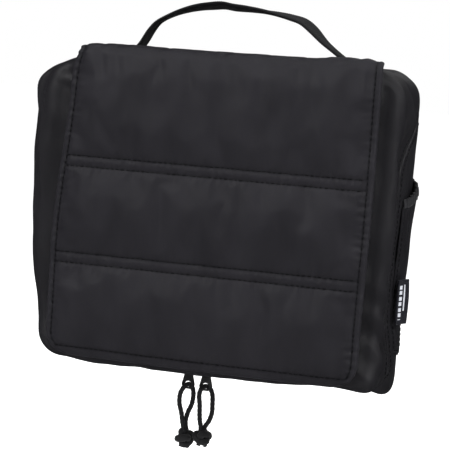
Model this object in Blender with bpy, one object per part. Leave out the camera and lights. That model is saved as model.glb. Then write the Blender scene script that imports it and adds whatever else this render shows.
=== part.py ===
"""Hanging toiletry bag: a soft two-part case closed by a zip, with a padded cover flap.

Metres, +Z up, front towards -Y. The constants count Y from the middle of the case's depth. The
model's origin is under the middle of the carry handle, where a hand or a rail holds the bag.
The front case carries the handle and the flap. The rear case swings back on the line where it
is sewn to the front case, once the zip is open.
"""
import math

import bmesh
import bpy
from mathutils import Vector

GAP = 0.0003  # between pieces that touch

# case: outer faces
HALF_WIDTH = 0.119
HALF_DEPTH = 0.038
TOP = -0.035
BASE = -0.239
TOP_RADIUS = 0.016
BASE_RADIUS = 0.020
WALL = 0.003

# zip line, seen from the side
ZIP_Y = -0.002
ZIP_TOP_BEND = -0.100
HINGE_Z = -0.058
TAPE_REACH = 0.0024
CHAIN_REACH = 0.0008

# side pockets
POCKET_DEEP = 0.0066
POCKET_MOUTH = -0.125
POCKET_FLOOR = -0.218

# cover flap
FLAP_HALF_WIDTH = 0.107
FLAP_TOP = -0.028
FLAP_REAR = 0.009
FLAP_FRONT = -0.047
FLAP_HEM = -0.2375
FLAP_PAD = 0.0045
FLAP_LINING = 0.0012
FLAP_RADIUS = 0.016
BINDING = 0.0035

# carry handle
HANDLE_Y = 0.023
HANDLE_HALF_WIDTH = 0.009
HANDLE_THICK = 0.0025
TO_ORIGIN = Vector((0.0, -HANDLE_Y, 0.0))
HANDLE_PIVOT_Z = -0.023
HANDLE_UNDERSIDE = [(-0.0690, -0.0315), (-0.0680, -0.0290), (-0.0660, -0.0262), (-0.0630, -0.0230),
                    (-0.0500, -0.0140), (-0.0400, -0.0085), (-0.0300, -0.0046), (-0.0200, -0.0020),
                    (-0.0100, -0.0005), (0.0, 0.0)]

# hanging hook on the back
HOOK_PIVOT = (0.0436, -0.0695)
STRAP_HALF_WIDTH = 0.010
STRAP_END = -0.0975
STRAP_THICK = 0.0012
STRAP_HALF_LOOP = 0.0035

# zip pulls: the x of each closed slider, and how far its cord hangs
PULL_X = {"left": -0.0165, "right": -0.0040}
SLIDER_DROP = 0.0016
PIN_Z = BASE - 0.0056
HOLE_Z = PIN_Z - 0.0118
CORD_DIAMETER = 0.0026
KNOT_RADIUS = 0.0058
KNOT_Z = {"left": -0.2940, "right": -0.2918}

COLOURS = {
    "shell_fabric": ((0.020, 0.020, 0.022), 0.55, 0.0),
    "flap_fabric": ((0.026, 0.025, 0.029), 0.50, 0.0),
    "lining_fabric": ((0.050, 0.050, 0.055), 0.80, 0.0),
    "foam": ((0.120, 0.120, 0.125), 0.90, 0.0),
    "webbing": ((0.030, 0.030, 0.033), 0.75, 0.0),
    "zip_tape": ((0.012, 0.012, 0.013), 0.80, 0.0),
    "zip_metal": ((0.030, 0.030, 0.032), 0.35, 0.6),
    "paracord": ((0.022, 0.022, 0.024), 0.70, 0.0),
    "plastic": ((0.018, 0.018, 0.019), 0.40, 0.0),
    "label": ((0.012, 0.012, 0.014), 0.60, 0.0),
}


def clear_scene():
    for item in list(bpy.data.objects):
        bpy.data.objects.remove(item, do_unlink=True)


def material(slot):
    if slot in bpy.data.materials:
        return bpy.data.materials[slot]
    colour, roughness, metallic = COLOURS[slot]
    made = bpy.data.materials.new(slot)
    made.use_nodes = True
    shader = made.node_tree.nodes["Principled BSDF"]
    shader.inputs["Base Color"].default_value = (*colour, 1.0)
    shader.inputs["Roughness"].default_value = roughness
    shader.inputs["Metallic"].default_value = metallic
    return made


def joint_empty(name, place, parent=None):
    empty = bpy.data.objects.new(name, None)
    bpy.context.collection.objects.link(empty)
    empty.empty_display_size = 0.01
    joint_place[empty] = Vector(place) + TO_ORIGIN
    empty.location = joint_place[empty] - (joint_place[parent] if parent else Vector())
    empty.parent = parent
    return empty


def finish(name, bm, slot, carrier=None, smooth=False):
    """Turns a bmesh into a named object whose origin is its carrier's."""
    bmesh.ops.recalc_face_normals(bm, faces=bm.faces)
    origin = joint_place[carrier] if carrier else Vector()
    bmesh.ops.translate(bm, vec=TO_ORIGIN - origin, verts=bm.verts)
    mesh = bpy.data.meshes.new(name)
    bm.to_mesh(mesh)
    bm.free()
    if smooth:
        mesh.shade_smooth()
        mesh.set_sharp_from_angle(angle=math.radians(40))
    made = bpy.data.objects.new(name, mesh)
    bpy.context.collection.objects.link(made)
    made.parent = carrier
    mesh.materials.append(material(slot))
    return made


def arc(centre, radius, start, end, steps):
    """Points on an arc in a plane, with the angles in degrees."""
    turns = [math.radians(start + (end - start) * i / steps) for i in range(steps + 1)]
    return [(centre[0] + radius * math.cos(a), centre[1] + radius * math.sin(a)) for a in turns]


def case_outline(inset=0.0, steps=6):
    """The case's outline in XZ, anticlockwise from the middle of the top."""
    x, top, base = HALF_WIDTH - inset, TOP - inset, BASE + inset
    r_top, r_base = TOP_RADIUS - inset, BASE_RADIUS - inset
    return (
        [(0.0, top)]
        + arc((-x + r_top, top - r_top), r_top, 90, 180, steps)
        + arc((-x + r_base, base + r_base), r_base, 180, 270, steps)
        + arc((x - r_base, base + r_base), r_base, 270, 360, steps)
        + arc((x - r_top, top - r_top), r_top, 0, 90, steps)
    )


def clip(outline, level, keep_below):
    """The part of a convex outline that lies below, or above, a height."""
    side = -1 if keep_below else 1
    kept = []
    for (x0, z0), (x1, z1) in zip(outline, outline[1:] + outline[:1]):
        inside, next_inside = side * (z0 - level) >= 0, side * (z1 - level) >= 0
        if inside:
            kept.append((x0, z0))
        if inside != next_inside:
            share = (level - z0) / (z1 - z0)
            kept.append((x0 + share * (x1 - x0), level))
    return kept


def prism(outline, low, high, axis="Y"):
    """An outline pushed along an axis. The outline's plane is XZ for Y, YZ for X, XY for Z."""
    place = {"Y": lambda a, b, t: (a, t, b), "X": lambda a, b, t: (t, a, b), "Z": lambda a, b, t: (a, b, t)}
    bm = bmesh.new()
    ends = [[bm.verts.new(place[axis](a, b, t)) for a, b in outline] for t in (low, high)]
    bm.faces.new(ends[0])
    bm.faces.new(ends[1])
    for i in range(len(outline)):
        j = (i + 1) % len(outline)
        bm.faces.new((ends[0][i], ends[0][j], ends[1][j], ends[1][i]))
    return bm


def box(low, high):
    corners = [(low[0], low[2]), (high[0], low[2]), (high[0], high[2]), (low[0], high[2])]
    return prism(corners, low[1], high[1])


def rounded(x0, x1, z0, z1, radius, steps=5):
    """A rectangle with round corners, anticlockwise."""
    return (
        arc((x1 - radius, z0 + radius), radius, -90, 0, steps)
        + arc((x1 - radius, z1 - radius), radius, 0, 90, steps)
        + arc((x0 + radius, z1 - radius), radius, 90, 180, steps)
        + arc((x0 + radius, z0 + radius), radius, 180, 270, steps)
    )


def ribbon(stations):
    """A closed strip through stations of four corners each, with capped ends."""
    bm = bmesh.new()
    rows = [[bm.verts.new(corner) for corner in station] for station in stations]
    for here, there in zip(rows, rows[1:]):
        for i in range(4):
            j = (i + 1) % 4
            bm.faces.new((here[i], here[j], there[j], there[i]))
    bm.faces.new(rows[0])
    bm.faces.new(rows[-1])
    return bm


def rim_path(part):
    """Points and outward normals along the case's rim: a side, the base, the top or the whole U."""
    x = HALF_WIDTH
    low = (x - BASE_RADIUS, BASE + BASE_RADIUS)
    high = (x - TOP_RADIUS, TOP - TOP_RADIUS)
    side_heights = [ZIP_TOP_BEND + (HINGE_Z - 0.0035 - ZIP_TOP_BEND) * i / 7 for i in range(8)]
    corner = [(math.radians(a), low, BASE_RADIUS) for a in (-45, -30, -15, 0)]
    shoulder = [(math.radians(a), high, TOP_RADIUS) for a in (0, 15, 30, 44)]

    def on_arc(turn, centre, radius):
        normal = (math.cos(turn), math.sin(turn))
        return ((centre[0] + radius * normal[0], centre[1] + radius * normal[1]), normal)

    rise = [((x, z), (1.0, 0.0)) for z in side_heights]
    right = [on_arc(*step) for step in corner] + rise
    if part == "front_side":
        path = right + [on_arc(*step) for step in shoulder]
    elif part == "rear_side":
        path = [on_arc(*step) for step in corner] + rise[:7]
    elif part == "base":
        turns = [math.radians(a) for a in (-46, -60, -75, -90)]
        half = [on_arc(turn, low, BASE_RADIUS) for turn in turns]
        path = half + [mirror(step) for step in reversed(half)]
    elif part == "top":
        turns = [math.radians(a) for a in (45, 60, 75, 90)]
        half = [on_arc(turn, high, TOP_RADIUS) for turn in turns]
        path = half + [mirror(step) for step in reversed(half)]
    else:
        turns = [math.radians(a) for a in (-90, -75, -60)]
        half = [on_arc(turn, low, BASE_RADIUS) for turn in turns] + right
        path = [mirror(step) for step in reversed(half)] + half
    return path


def mirror(step):
    (x, z), (nx, nz) = step
    return ((-x, z), (-nx, nz))


def zip_y(z):
    """The zip line's Y: straight up the side, then curving back to the rear edge."""
    if z <= ZIP_TOP_BEND:
        return ZIP_Y
    share = min(1.0, (z - ZIP_TOP_BEND) / (HINGE_Z - ZIP_TOP_BEND))
    return ZIP_Y + (HALF_DEPTH - WALL - ZIP_Y) * (1 - math.cos(share * math.pi / 2)) ** 0.8


def rim_wall(part, front, back, thick=WALL, outset=0.0, flip=False):
    """A wall along the case's rim between two Y values, each a number or a rule of the height."""
    stations = []
    for step in rim_path(part):
        (x, z), (nx, nz) = mirror(step) if flip else step
        y0 = front(z) if callable(front) else front
        y1 = back(z) if callable(back) else back
        outer = (x + nx * outset, z + nz * outset)
        inner = (x - nx * (thick - outset), z - nz * (thick - outset))
        stations.append([(outer[0], y0, outer[1]), (outer[0], y1, outer[1]),
                         (inner[0], y1, inner[1]), (inner[0], y0, inner[1])])
    return ribbon(stations)


def pocket(wide, tall, deep, thick):
    """A tray with its back open and its mouth up: X is its width, Z its height, -Y its front."""
    bm = bmesh.new()
    x, z0, z1 = wide / 2, 0.0, tall
    outer = [(-x, z1), (-x, z0), (x, z0), (x, z1)]
    inner = [(-x + thick, z1), (-x + thick, z0 + thick), (x - thick, z0 + thick), (x - thick, z1)]
    back_outer = [bm.verts.new((a, 0, b)) for a, b in outer]
    back_inner = [bm.verts.new((a, 0, b)) for a, b in inner]
    front_outer = [bm.verts.new((a, -deep, b)) for a, b in outer]
    front_inner = [bm.verts.new((a, -deep + thick, b)) for a, b in inner]
    for i in range(3):
        bm.faces.new((back_outer[i], back_outer[i + 1], back_inner[i + 1], back_inner[i]))
        bm.faces.new((back_outer[i + 1], back_outer[i], front_outer[i], front_outer[i + 1]))
        bm.faces.new((back_inner[i], back_inner[i + 1], front_inner[i + 1], front_inner[i]))
    bm.faces.new(front_outer)
    bm.faces.new(front_inner)
    bm.faces.new((back_outer[0], back_inner[0], front_inner[0], front_inner[3],
                  back_inner[3], back_outer[3], front_outer[3], front_outer[0]))
    return bm


def moved(bm, turn, place):
    """Turns a shape about Z, then moves it."""
    for vert in bm.verts:
        x, y = vert.co.x, vert.co.y
        vert.co.x = x * math.cos(turn) - y * math.sin(turn) + place[0]
        vert.co.y = x * math.sin(turn) + y * math.cos(turn) + place[1]
        vert.co.z += place[2]
    return bm


def cut(target, bm, name, operation="DIFFERENCE"):
    """Cuts a target with a shape, or joins the shape to it."""
    cutter = finish(name, bm, "plastic", target.parent)
    cutter.hide_render = True
    cutter.display_type = "WIRE"
    change = target.modifiers.new(name, "BOOLEAN")
    change.operation = operation
    change.solver = "EXACT"
    change.object = cutter


def smooth_curve(route, per_span):
    """Points of a Catmull-Rom curve through the route."""
    route = [Vector(point) for point in route]
    padded = [2 * route[0] - route[1]] + route + [2 * route[-1] - route[-2]]
    points = []
    for a, b, c, d in zip(padded, padded[1:], padded[2:], padded[3:]):
        for i in range(per_span):
            t = i / per_span
            points.append(0.5 * (2 * b + (c - a) * t + (2 * a - 5 * b + 4 * c - d) * t * t
                                 + (3 * b - a - 3 * c + d) * t ** 3))
    return points + [route[-1]]


def front_case():
    inner = HALF_DEPTH - WALL
    finish("front_panel", prism(case_outline(), -HALF_DEPTH, -inner), "shell_fabric")
    finish("front_foam", prism(case_outline(WALL + 0.001), -inner + GAP, -inner + 0.0018), "foam")
    yoke = clip(case_outline(), HINGE_Z + GAP, False)
    finish("back_yoke", prism(yoke, inner, HALF_DEPTH), "shell_fabric")
    finish("top_panel", rim_wall("top", -inner + GAP, inner - GAP), "shell_fabric")

    def rear_edge(z):
        return min(zip_y(z) - TAPE_REACH, inner - GAP) if z < HINGE_Z - 0.003 else inner - GAP

    for side, flip in (("right", False), ("left", True)):
        wall = rim_wall("front_side", -inner + GAP, rear_edge, flip=flip)
        finish(f"front_gusset_{side}", wall, "shell_fabric")
    finish("front_base", rim_wall("base", -inner + GAP, rear_edge), "shell_fabric")
    tape = rim_wall("zip", lambda z: zip_y(z) - TAPE_REACH + GAP,
                    lambda z: zip_y(z) - CHAIN_REACH - GAP, 0.0015)
    finish("front_zip_tape", tape, "zip_tape")
    chain = rim_wall("zip", lambda z: zip_y(z) - CHAIN_REACH, lambda z: zip_y(z) - GAP / 2, 0.0018, 0.0003)
    finish("front_zip_chain", chain, "zip_metal")
    loop = box((-0.030, -HALF_DEPTH - 0.0013, -0.222), (0.030, -HALF_DEPTH - GAP, -0.202))
    finish("case_fastener_strip", loop, "webbing")
    tray = moved(pocket(0.200, 0.110, 0.0065, 0.0010), math.pi, (0.0, -inner + 0.0021, -0.228))
    finish("front_inner_pocket", tray, "lining_fabric")
    band = box((-0.100, -0.0295, -0.1175), (0.100, -0.0265, -0.1095))
    finish("front_pocket_elastic", band, "webbing")


def handle(pivot):
    """The strap that arches over the bag, and the flat ends that are sewn to the top."""
    half = HANDLE_UNDERSIDE + [(-x, z) for x, z in reversed(HANDLE_UNDERSIDE[:-1])]
    stations = []
    for i, (x, z) in enumerate(half):
        ahead, behind = half[min(i + 1, len(half) - 1)], half[max(i - 1, 0)]
        run = Vector((ahead[0] - behind[0], ahead[1] - behind[1])).normalized()
        out = (-run.y * HANDLE_THICK, run.x * HANDLE_THICK)
        drop = max(0.0, HANDLE_PIVOT_Z - z)
        width = math.sqrt(max(HANDLE_HALF_WIDTH ** 2 - drop ** 2, 0.0022 ** 2))
        stations.append([(x, HANDLE_Y - width, z), (x, HANDLE_Y + width, z),
                         (x + out[0], HANDLE_Y + width, z + out[1]),
                         (x + out[0], HANDLE_Y - width, z + out[1])])
    finish("carry_handle", ribbon(stations), "webbing", pivot)
    for side, sign in (("left", -1), ("right", 1)):
        ends = sorted((sign * 0.066, sign * 0.086))
        tab = box((ends[0], HANDLE_Y - HANDLE_HALF_WIDTH, TOP + GAP),
                  (ends[1], HANDLE_Y + HANDLE_HALF_WIDTH, TOP + 0.0023))
        finish(f"handle_anchor_{side}", tab, "webbing")


def flap(top_hinge, fold):
    """The padded cover: a top section and a front section, each an outer pad on a lining."""
    front_edge = FLAP_FRONT + FLAP_PAD + FLAP_LINING + GAP * 2
    x = FLAP_HALF_WIDTH
    pad = box((-x, front_edge, FLAP_TOP - FLAP_PAD), (x, FLAP_REAR, FLAP_TOP))
    finish("flap_top_pad", pad, "flap_fabric", top_hinge)
    under = FLAP_TOP - FLAP_PAD - GAP
    lining = box((-x, front_edge, under - FLAP_LINING), (x, FLAP_REAR, under))
    finish("flap_top_lining", lining, "lining_fabric", top_hinge)

    def front_shape(inset):
        low = FLAP_HEM + inset
        radius = FLAP_RADIUS - inset
        corners = arc((x - inset - radius, low + radius), radius, -90, 0, 5)
        return corners + [(x - inset, FLAP_TOP - GAP), (-x + inset, FLAP_TOP - GAP)] + [
            (-a, b) for a, b in reversed(corners)]

    pad = prism(front_shape(BINDING), FLAP_FRONT, FLAP_FRONT + FLAP_PAD)
    finish("flap_front_pad", pad, "flap_fabric", fold)
    rear = FLAP_FRONT + FLAP_PAD + GAP
    lining = prism(front_shape(BINDING), rear, rear + FLAP_LINING)
    finish("flap_front_lining", lining, "lining_fabric", fold)
    outer, inner = front_shape(0.0), front_shape(BINDING - GAP)
    edge = outer[-6:] + outer[:6]
    inside = inner[-6:] + inner[:6]
    edge = [outer[7]] + edge + [outer[6]]
    inside = [inner[7]] + inside + [inner[6]]
    y0, y1 = FLAP_FRONT + 0.0005, rear + FLAP_LINING
    stations = [[(a, y0, b), (a, y1, b), (c, y1, d), (c, y0, d)] for (a, b), (c, d) in zip(edge, inside)]
    finish("flap_binding", ribbon(stations), "flap_fabric", fold)
    patch = box((-0.030, rear + FLAP_LINING + GAP, -0.222), (0.030, rear + FLAP_LINING + 0.0012, -0.202))
    finish("flap_fastener_strip", patch, "webbing", fold)


def rear_case(hinge):
    inner = HALF_DEPTH - WALL
    below = clip(case_outline(), HINGE_Z - GAP, True)
    finish("back_panel", prism(below, inner, HALF_DEPTH), "shell_fabric", hinge)
    foam = clip(case_outline(WALL + 0.001), HINGE_Z - 0.004, True)
    finish("back_foam", prism(foam, inner - 0.0018, inner - GAP), "foam", hinge)

    def front_edge(z):
        return min(zip_y(z) + TAPE_REACH, inner - 0.0015)

    for side, flip in (("right", False), ("left", True)):
        wall = rim_wall("rear_side", front_edge, inner - GAP, flip=flip)
        finish(f"rear_gusset_{side}", wall, "shell_fabric", hinge)
        sign = -1 if flip else 1
        tray = moved(pocket(0.026, POCKET_MOUTH - POCKET_FLOOR, POCKET_DEEP, 0.0012), math.pi / 2 * sign,
                     (sign * (HALF_WIDTH + GAP), 0.0215, POCKET_FLOOR))
        finish(f"side_pocket_{side}", tray, "shell_fabric", hinge)
        ends = sorted((sign * (HALF_WIDTH + POCKET_DEEP - 0.0012),
                       sign * (HALF_WIDTH + POCKET_DEEP + 0.0006)))
        band = box((ends[0], 0.0087, POCKET_MOUTH + GAP), (ends[1], 0.0343, POCKET_MOUTH + 0.0053))
        finish(f"side_pocket_elastic_{side}", band, "webbing", hinge)
    finish("rear_base", rim_wall("base", front_edge, inner - GAP), "shell_fabric", hinge)
    tape = rim_wall("zip", lambda z: zip_y(z) + CHAIN_REACH + GAP,
                    lambda z: min(zip_y(z) + TAPE_REACH, inner) - GAP, 0.0015)
    finish("rear_zip_tape", tape, "zip_tape", hinge)
    chain = rim_wall("zip", lambda z: zip_y(z) + GAP / 2, lambda z: zip_y(z) + CHAIN_REACH, 0.0018, 0.0003)
    finish("rear_zip_chain", chain, "zip_metal", hinge)

    tray = moved(pocket(0.200, 0.080, 0.0065, 0.0010), 0.0, (0.0, inner - 0.0021, -0.228))
    finish("rear_inner_pocket", tray, "lining_fabric", hinge)
    band = box((-0.100, 0.0265, -0.1475), (0.100, 0.0295, -0.1395))
    finish("rear_pocket_elastic", band, "webbing", hinge)
    finish("bottle_loop_band", bottle_loops(inner - 0.0021), "webbing", hinge)
    out = HALF_WIDTH + POCKET_DEEP + 2 * GAP
    tag = box((out, 0.0100, -0.2000), (out + 0.0008, 0.0250, -0.1710))
    finish("side_label", tag, "label", hinge)
    patch = box((-0.014, HALF_DEPTH + GAP, -0.078), (0.014, HALF_DEPTH + 0.0016, -0.062))
    finish("hook_anchor_patch", patch, "webbing", hinge)


def bottle_loops(back):
    """An elastic band sewn down between three loops that hold bottles upright."""
    loops, flat, high, thick = 3, 0.008, 0.014, 0.0012
    span = (0.190 - (loops + 1) * flat) / loops
    centre_line = [(-0.095, 0.0)]
    for i in range(loops):
        left = -0.095 + flat + i * (span + flat)
        for k in range(9):
            share = k / 8
            centre_line.append((left + span * share, high * math.sin(math.pi * share)))
    centre_line.append((0.095, 0.0))
    stations = []
    for x, rise in centre_line:
        stations.append([(x, back - rise, -0.118), (x, back - rise, -0.096),
                         (x, back - rise - thick, -0.096), (x, back - rise - thick, -0.118)])
    return ribbon(stations)


def hook(pivot):
    """A folded webbing loop and the flat moulded hook that it holds."""
    y, z = HOOK_PIVOT
    r = STRAP_HALF_LOOP
    outer = arc((y, z), r, 0, 180, 8) + arc((y, STRAP_END + r), r, 180, 360, 8)
    inner = arc((y, z), r - STRAP_THICK, 0, 180, 8) + arc((y, STRAP_END + r), r - STRAP_THICK, 180, 360, 8)
    strap = finish("hook_strap", prism(outer, -STRAP_HALF_WIDTH, STRAP_HALF_WIDTH, "X"), "webbing", pivot)
    cut(strap, prism(inner, -0.02, 0.02, "X"), "strap_loop_space")

    thick, half = 0.0017, 0.0034
    frame_top = STRAP_END + r + 0.0022
    frame = rounded(-0.0145, 0.0145, frame_top - 0.0125, frame_top, 0.003, 3)
    made = finish("hanging_hook", prism(frame, y - thick, y + thick), "plastic", pivot)
    half_slot = STRAP_HALF_WIDTH + 0.0008
    slot = rounded(-half_slot, half_slot, frame_top - 0.0082, frame_top - 0.0034, 0.001, 2)
    cut(made, prism(slot, y - 0.01, y + 0.01), "hook_slot")
    stem_z = frame_top - 0.0115
    bend = 0.0165
    line = [(0.0, stem_z), (0.0, stem_z - 0.012)] + arc((-bend, stem_z - 0.026), bend, 0, -215, 14)
    left, right = [], []
    for i, point in enumerate(line):
        ahead, behind = line[min(i + 1, len(line) - 1)], line[max(i - 1, 0)]
        run = Vector((ahead[0] - behind[0], ahead[1] - behind[1])).normalized()
        wide = half * (1.0 if i < len(line) - 2 else 0.8)
        left.append((point[0] - run.y * wide, point[1] + run.x * wide))
        right.append((point[0] + run.y * wide, point[1] - run.x * wide))
    curl = prism(left + list(reversed(right)), y - thick + 0.0001, y + thick - 0.0001)
    cut(made, curl, "hook_curl", "UNION")


def slider(side, carrier):
    """The slider under the closed zip, with two ears and the cross pin that holds its tab."""
    x = PULL_X[side]
    low, high = BASE - SLIDER_DROP - 0.0020, BASE - SLIDER_DROP
    body = rounded(x - 0.0050, x + 0.0050, ZIP_Y - 0.0042, ZIP_Y + 0.0042, 0.0018, 3)
    made = finish(f"zip_slider_{side}", prism(body, low, high, "Z"), "zip_metal", carrier)
    for name, y0, y1 in (("front", -0.0024, -0.0012), ("rear", 0.0012, 0.0024)):
        ear = arc((x, PIN_Z), 0.0016, 180, 360, 6) + [(x + 0.0016, low + 0.0004), (x - 0.0016, low + 0.0004)]
        cut(made, prism(ear, ZIP_Y + y0, ZIP_Y + y1), f"ear_{name}_{side}", "UNION")
    pin = arc((x, PIN_Z), 0.0007, 0, 324, 9)
    cut(made, prism(pin, ZIP_Y - 0.0014, ZIP_Y + 0.0014), f"pin_{side}", "UNION")


def pull_tab(side, carrier):
    """A flat tab, narrow at the pin and wide at the hole for the cord."""
    x = PULL_X[side]
    outline = (arc((x, PIN_Z), 0.0017, 20, 160, 6)
               + arc((x - 0.0012, HOLE_Z), 0.0034, 180, 270, 5)
               + arc((x + 0.0012, HOLE_Z), 0.0034, 270, 360, 5))
    made = finish(f"pull_tab_{side}", prism(outline, ZIP_Y - 0.0006, ZIP_Y + 0.0006), "zip_metal", carrier)
    cut(made, prism(arc((x, PIN_Z), 0.0010, 0, 324, 9), ZIP_Y - 0.01, ZIP_Y + 0.01), f"pin_hole_{side}")
    hole = arc((x, HOLE_Z), 0.0022, 0, 337.5, 15)
    cut(made, prism(hole, ZIP_Y - 0.01, ZIP_Y + 0.01), f"cord_hole_{side}")


def cord_route(side):
    """The cord's own points: up from the knot in front of the tab, through it, and down behind."""
    x, top, end = PULL_X[side], HOLE_Z, KNOT_Z[side] + KNOT_RADIUS + GAP * 2
    lean = 0.0006 if side == "left" else -0.0006
    drop = top - end
    return [
        (x - 0.0018, ZIP_Y - 0.0008, end),
        (x - 0.0030 - lean, ZIP_Y - 0.0016, end + drop * 0.22),
        (x - 0.0039 - lean, ZIP_Y - 0.0024, end + drop * 0.48),
        (x - 0.0036, ZIP_Y - 0.0030, end + drop * 0.74),
        (x - 0.0020, ZIP_Y - 0.0030, end + drop * 0.93),
        (x, ZIP_Y, top + 0.0001),
        (x + 0.0020, ZIP_Y + 0.0030, end + drop * 0.93),
        (x + 0.0036, ZIP_Y + 0.0030, end + drop * 0.74),
        (x + 0.0039 - lean, ZIP_Y + 0.0024, end + drop * 0.48),
        (x + 0.0030 - lean, ZIP_Y + 0.0016, end + drop * 0.22),
        (x + 0.0018, ZIP_Y + 0.0008, end),
    ]


def pull_cord(side, carrier):
    origin = joint_place[carrier]
    curve = bpy.data.curves.new(f"pull_cord_{side}", "CURVE")
    curve.dimensions = "3D"
    curve.bevel_depth = CORD_DIAMETER / 2
    curve.bevel_resolution = 2
    curve.use_fill_caps = True
    points = smooth_curve(cord_route(side), 3)
    spline = curve.splines.new("POLY")
    spline.points.add(len(points) - 1)
    for target, point in zip(spline.points, points):
        target.co = (*(point + TO_ORIGIN - origin), 1.0)
    cord = bpy.data.objects.new(f"pull_cord_{side}", curve)
    bpy.context.collection.objects.link(cord)
    cord.parent = carrier
    curve.materials.append(material("paracord"))

    bm = bmesh.new()
    bmesh.ops.create_icosphere(bm, subdivisions=2, radius=KNOT_RADIUS)
    bmesh.ops.translate(bm, vec=(PULL_X[side], ZIP_Y, KNOT_Z[side]), verts=bm.verts)
    finish(f"cord_knot_{side}", bm, "paracord", carrier, smooth=True)


def build():
    clear_scene()
    front_case()
    handle(joint_empty("handle_pivot", (0, HANDLE_Y, HANDLE_PIVOT_Z)))
    top_hinge = joint_empty("flap_hinge", (0, FLAP_REAR, FLAP_TOP))
    flap(top_hinge, joint_empty("flap_fold", (0, FLAP_FRONT, FLAP_TOP), top_hinge))
    hinge = joint_empty("rear_case_hinge", (0, HALF_DEPTH, HINGE_Z))
    rear_case(hinge)
    hook(joint_empty("hook_pivot", (0, *HOOK_PIVOT), hinge))
    for side, x in PULL_X.items():
        slide = joint_empty(f"slider_place_{side}", (x, ZIP_Y, BASE))
        slider(side, slide)
        pin = joint_empty(f"tab_pin_{side}", (x, ZIP_Y, PIN_Z), slide)
        pull_tab(side, pin)
        pull_cord(side, joint_empty(f"cord_hang_{side}", (x, ZIP_Y, HOLE_Z), pin))


joint_place = {}
build()
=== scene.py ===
"""The looks of the hanging toiletry bag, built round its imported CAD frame."""
import math

import bpy
import numpy as np
from mathutils import Matrix, Vector, noise
from mathutils.bvhtree import BVHTree


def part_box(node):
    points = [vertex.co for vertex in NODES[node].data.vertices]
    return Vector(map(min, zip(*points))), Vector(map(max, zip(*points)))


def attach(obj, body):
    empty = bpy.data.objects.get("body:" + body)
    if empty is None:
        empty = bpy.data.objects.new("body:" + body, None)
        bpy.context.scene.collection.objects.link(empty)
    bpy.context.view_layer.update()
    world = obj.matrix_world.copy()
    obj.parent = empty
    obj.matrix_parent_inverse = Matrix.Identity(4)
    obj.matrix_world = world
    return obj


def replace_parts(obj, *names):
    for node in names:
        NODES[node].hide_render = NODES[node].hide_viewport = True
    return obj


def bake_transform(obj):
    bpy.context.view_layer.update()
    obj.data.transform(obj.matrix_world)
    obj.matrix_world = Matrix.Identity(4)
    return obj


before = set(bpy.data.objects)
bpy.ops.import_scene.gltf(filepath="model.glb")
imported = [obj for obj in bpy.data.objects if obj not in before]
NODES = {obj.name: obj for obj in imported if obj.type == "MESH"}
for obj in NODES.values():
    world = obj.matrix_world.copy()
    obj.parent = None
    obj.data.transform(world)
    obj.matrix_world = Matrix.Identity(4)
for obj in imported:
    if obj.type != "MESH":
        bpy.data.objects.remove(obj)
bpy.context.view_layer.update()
TAU = 2 * math.pi

# ---------------------------------------------------------------- sizes, in metres
HALF_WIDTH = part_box("back_panel")[1].x
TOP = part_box("top_panel")[1].z
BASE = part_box("rear_base")[0].z
FRONT_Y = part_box("front_panel")[0].y
BACK_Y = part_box("back_panel")[1].y
TOP_RADIUS = 0.017                              # the case's corners as seen from the front
BASE_RADIUS = {"left": 0.017, "right": 0.0092}
FRONT_EDGE, REAR_EDGE = 0.0085, 0.0055          # the rounding of its front and back edges
WALL = 0.0026
HINGE_Z = -0.058
ZIP_Y, ZIP_BACK = -0.025, 0.012                 # the zip's depth low down, and at its two ends
ZIP_BEND, ZIP_END = -0.100, -0.058              # between these heights it curves to the back
ZIP_GAP = 0.0015
FLAP_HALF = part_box("flap_binding")[1].x
FLAP_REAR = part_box("flap_top_pad")[1].y
FLAP_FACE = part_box("flap_front_pad")[0].y
FLAP_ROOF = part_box("flap_top_pad")[1].z
FLAP_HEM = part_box("flap_binding")[0].z
FLAP_CORNER = 0.016
CORD_DIAMETER, CORD_LENGTH = 0.0031, {"left": 0.078, "right": 0.074}

# ---------------------------------------------------------------- camera
CAMERA_AZIMUTH, CAMERA_ELEVATION, CAMERA_ROLL = 13.88, 6.04, 4.05
CAMERA_DISTANCE, CAMERA_LENS, CAMERA_SENSOR = 1.1, 130.05, 36
AIM, AIM_RIGHT, AIM_DOWN = Vector((0, -0.023, -0.14)), 0.00097, 0.0052


def make_camera():
    azimuth, elevation, roll = (math.radians(a) for a in (CAMERA_AZIMUTH, CAMERA_ELEVATION, CAMERA_ROLL))
    back = Vector((math.sin(azimuth) * math.cos(elevation),
                   -math.cos(azimuth) * math.cos(elevation), math.sin(elevation)))
    right = Vector((math.cos(azimuth), math.sin(azimuth), 0))
    up = back.cross(right)
    target = AIM + AIM_RIGHT * right - AIM_DOWN * up
    turned_right = math.cos(roll) * right + math.sin(roll) * up
    turned_up = math.cos(roll) * up - math.sin(roll) * right
    camera = bpy.data.objects.new("camera", bpy.data.cameras.new("camera"))
    bpy.context.scene.collection.objects.link(camera)
    camera.data.lens, camera.data.sensor_width = CAMERA_LENS, CAMERA_SENSOR
    camera.data.clip_start, camera.data.clip_end = 0.05, 50
    place = Matrix((turned_right, turned_up, back)).transposed().to_4x4()
    place.translation = target + CAMERA_DISTANCE * back
    camera.matrix_world = place
    bpy.context.scene.camera = camera


make_camera()


# ---------------------------------------------------------------- numbers and paths
def smooth(t):
    """Eases from 0 to 1."""
    t = np.clip(t, 0, 1)
    return t * t * (3 - 2 * t)


def bell(v, middle, width):
    """A hump of height 1."""
    return np.exp(-((v - middle) / width) ** 2)


def noisy(points, scale, seed=0.0, stretch=(1, 1, 1)):
    """Smooth noise from -1 to 1 at each point."""
    q = np.asarray(points) * scale * np.asarray(stretch) + seed
    return np.array([noise.noise(Vector(p)) for p in q]) * 1.6


def unit(v):
    return v / np.linalg.norm(v, axis=-1, keepdims=True)


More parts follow.
